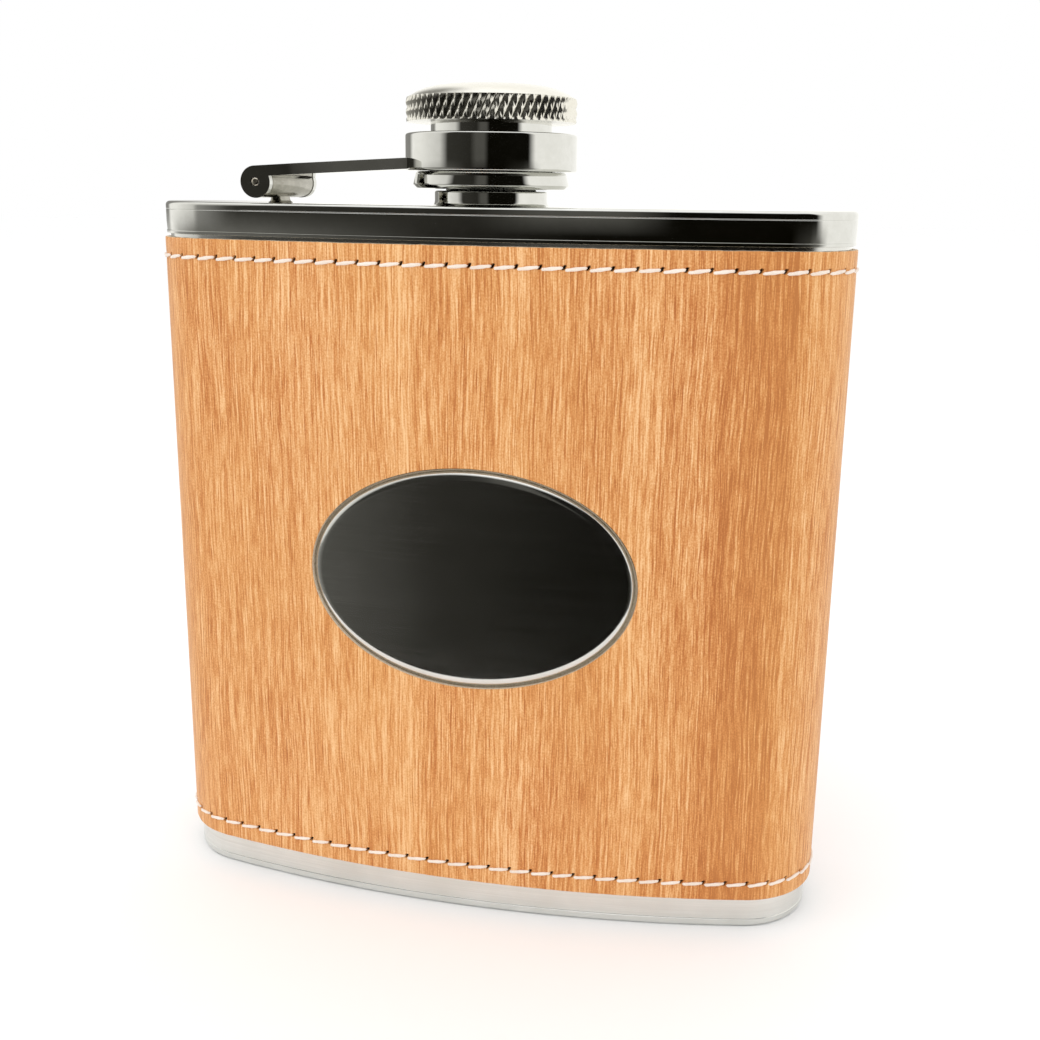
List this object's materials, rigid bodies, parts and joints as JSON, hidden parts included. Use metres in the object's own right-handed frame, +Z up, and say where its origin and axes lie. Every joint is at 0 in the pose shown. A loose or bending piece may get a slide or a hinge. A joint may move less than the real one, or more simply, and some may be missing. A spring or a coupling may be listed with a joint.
{
  "type": "hip flask",
  "caption": "Curved pocket flask of steel in a stitched wood-grain wrap with an oval window, closed by a knurled screw cap on a hinged captive arm.",
  "frame": {"origin": "on the surface it stands on, at the middle of the width and depth", "axes": "+Z up along the neck, +X along the width with the cap's hinge at -X, -Y out of the convex front with the oval window"},
  "size_m": [0.0958, 0.027, 0.1126],
  "materials": {
    "satin_steel": "satin, finely brushed along the width",
    "polished_steel": "mirror polished",
    "knurled_steel": "diamond knurl with a polished dome",
    "pin_steel": "plain, riveted ends",
    "wood_grain_leatherette": "printed wood grain, satin",
    "thread": "twisted polyester thread",
    "gasket_rubber": "matt silicone"
  },
  "bodies": {
    "flask": {"body_shell": "satin_steel", "bottom_plate": "satin_steel", "top_plate": "polished_steel", "neck": "polished_steel", "wrap": "wood_grain_leatherette", "wrap_stitches_top": "thread", "wrap_stitches_bottom": "thread", "hinge_lug": "polished_steel"},
    "arm": {"hinge_arm": "polished_steel", "hinge_pin": "pin_steel", "cap_collar": "polished_steel"},
    "cap": {"cap_sleeve": "polished_steel", "cap_head": "knurled_steel", "cap_gasket": "gasket_rubber"}
  },
  "joints": [
    {"name": "arm_swing", "type": "hinge", "parent": "flask", "child": "arm", "pos_m": [-0.0296, -0.0016, 0.10015], "axis": [0, -1, 0], "range_deg": [0, 177]},
    {"name": "cap_spin", "type": "hinge", "parent": "arm", "child": "cap", "pos_m": [0, -0.0016, 0.1042], "axis": [0, 0, 1], "continuous": true}
  ]
}
